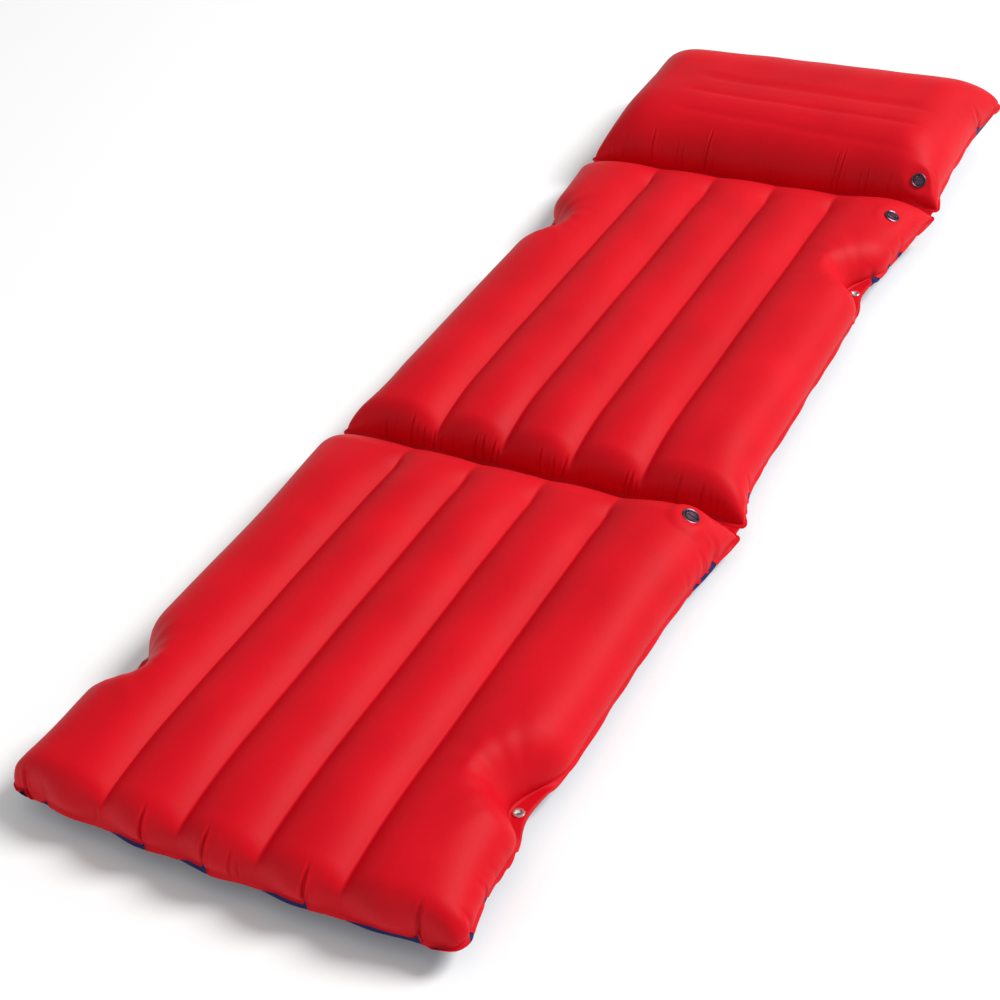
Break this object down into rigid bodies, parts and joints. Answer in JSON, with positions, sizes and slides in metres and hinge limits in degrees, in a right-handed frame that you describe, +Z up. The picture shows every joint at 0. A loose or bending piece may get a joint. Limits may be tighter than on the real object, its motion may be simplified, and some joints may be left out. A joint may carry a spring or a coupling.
{
  "type": "inflatable lounge mattress",
  "caption": "Folding inflatable lounge mattress with channelled leg and back sections, a thick pillow, screw valves and side eyelets.",
  "frame": {"origin": "on the floor, under the middle of the mattress's length and width", "axes": "+Y from the foot to the pillow, +Z up, +X to the side with the valves"},
  "size_m": [0.6326, 2, 0.146],
  "materials": {
    "red_cloth": "satin rubberised cotton",
    "navy_cloth": "satin rubberised cotton",
    "web_cloth": "matt rubberised cotton, hidden inside",
    "dark_nickel": "dark nickel plate",
    "bright_nickel": "bright nickel plate",
    "valve_rubber": "matt rubber"
  },
  "bodies": {
    "legs": {"legs_top_sheet": "red_cloth", "legs_bottom_sheet": "navy_cloth", "legs_web_1": "web_cloth", "legs_web_2": "web_cloth", "legs_web_3": "web_cloth", "legs_web_4": "web_cloth", "legs_eyelet_left": "bright_nickel", "legs_eyelet_washer_left": "bright_nickel", "legs_eyelet_right": "bright_nickel", "legs_eyelet_washer_right": "bright_nickel", "legs_valve_seat": "dark_nickel", "legs_valve_patch": "valve_rubber", "legs_valve_clamp_ring": "dark_nickel", "back_fold_band": "red_cloth"},
    "back": {"back_top_sheet": "red_cloth", "back_bottom_sheet": "navy_cloth", "back_web_1": "web_cloth", "back_web_2": "web_cloth", "back_web_3": "web_cloth", "back_web_4": "web_cloth", "back_eyelet_left": "bright_nickel", "back_eyelet_washer_left": "bright_nickel", "back_eyelet_right": "bright_nickel", "back_eyelet_washer_right": "bright_nickel", "back_valve_seat": "dark_nickel", "back_valve_patch": "valve_rubber", "back_valve_clamp_ring": "dark_nickel", "pillow_fold_band": "red_cloth"},
    "pillow": {"pillow_top_sheet": "red_cloth", "pillow_bottom_sheet": "navy_cloth", "pillow_web_1": "web_cloth", "pillow_web_2": "web_cloth", "pillow_web_3": "web_cloth", "pillow_valve_seat": "dark_nickel", "pillow_valve_patch": "valve_rubber", "pillow_valve_clamp_ring": "dark_nickel"},
    "legs_valve_seal": {"legs_valve_seal": "valve_rubber"},
    "legs_valve_plug": {"legs_valve_plug": "dark_nickel"},
    "back_valve_seal": {"back_valve_seal": "valve_rubber"},
    "back_valve_plug": {"back_valve_plug": "dark_nickel"},
    "pillow_valve_seal": {"pillow_valve_seal": "valve_rubber"},
    "pillow_valve_plug": {"pillow_valve_plug": "dark_nickel"}
  },
  "joints": [
    {"name": "back_fold", "type": "hinge", "parent": "legs", "child": "back", "pos_m": [0, -0.24, 0.026], "axis": [1, 0, 0], "range_deg": [0, 56]},
    {"name": "pillow_fold", "type": "hinge", "parent": "back", "child": "pillow", "pos_m": [0, 0.61, 0.048], "axis": [1, 0, 0], "range_deg": [0, 60]},
    {"name": "legs_valve_lift", "type": "slide", "parent": "legs", "child": "legs_valve_seal", "axis": [0.4834, 0.0371, 0.8746], "range_m": [0, 0.0031]},
    {"name": "legs_valve_turn", "type": "hinge", "parent": "legs_valve_seal", "child": "legs_valve_plug", "pos_m": [0.266, -0.304, 0.08721], "axis": [0.4834, 0.0371, 0.8746], "range_deg": [0, 540]},
    {"name": "back_valve_lift", "type": "slide", "parent": "back", "child": "back_valve_seal", "axis": [0.4805, -0.049, 0.8756], "range_m": [0, 0.0031]},
    {"name": "back_valve_turn", "type": "hinge", "parent": "back_valve_seal", "child": "back_valve_plug", "pos_m": [0.266, 0.512, 0.08799], "axis": [0.4805, -0.049, 0.8756], "range_deg": [0, 540]},
    {"name": "pillow_valve_lift", "type": "slide", "parent": "pillow", "child": "pillow_valve_seal", "axis": [0.3039, -0.7075, 0.638], "range_m": [0, 0.0031]},
    {"name": "pillow_valve_turn", "type": "hinge", "parent": "pillow_valve_seal", "child": "pillow_valve_plug", "pos_m": [0.27, 0.641, 0.08783], "axis": [0.3039, -0.7075, 0.638], "range_deg": [0, 540]}
  ],
  "couplings": [
    {"joint": "legs_valve_lift", "follows": "legs_valve_turn", "m_per_rad": 0.00031831},
    {"joint": "back_valve_lift", "follows": "back_valve_turn", "m_per_rad": 0.00031831},
    {"joint": "pillow_valve_lift", "follows": "pillow_valve_turn", "m_per_rad": 0.00031831}
  ]
}
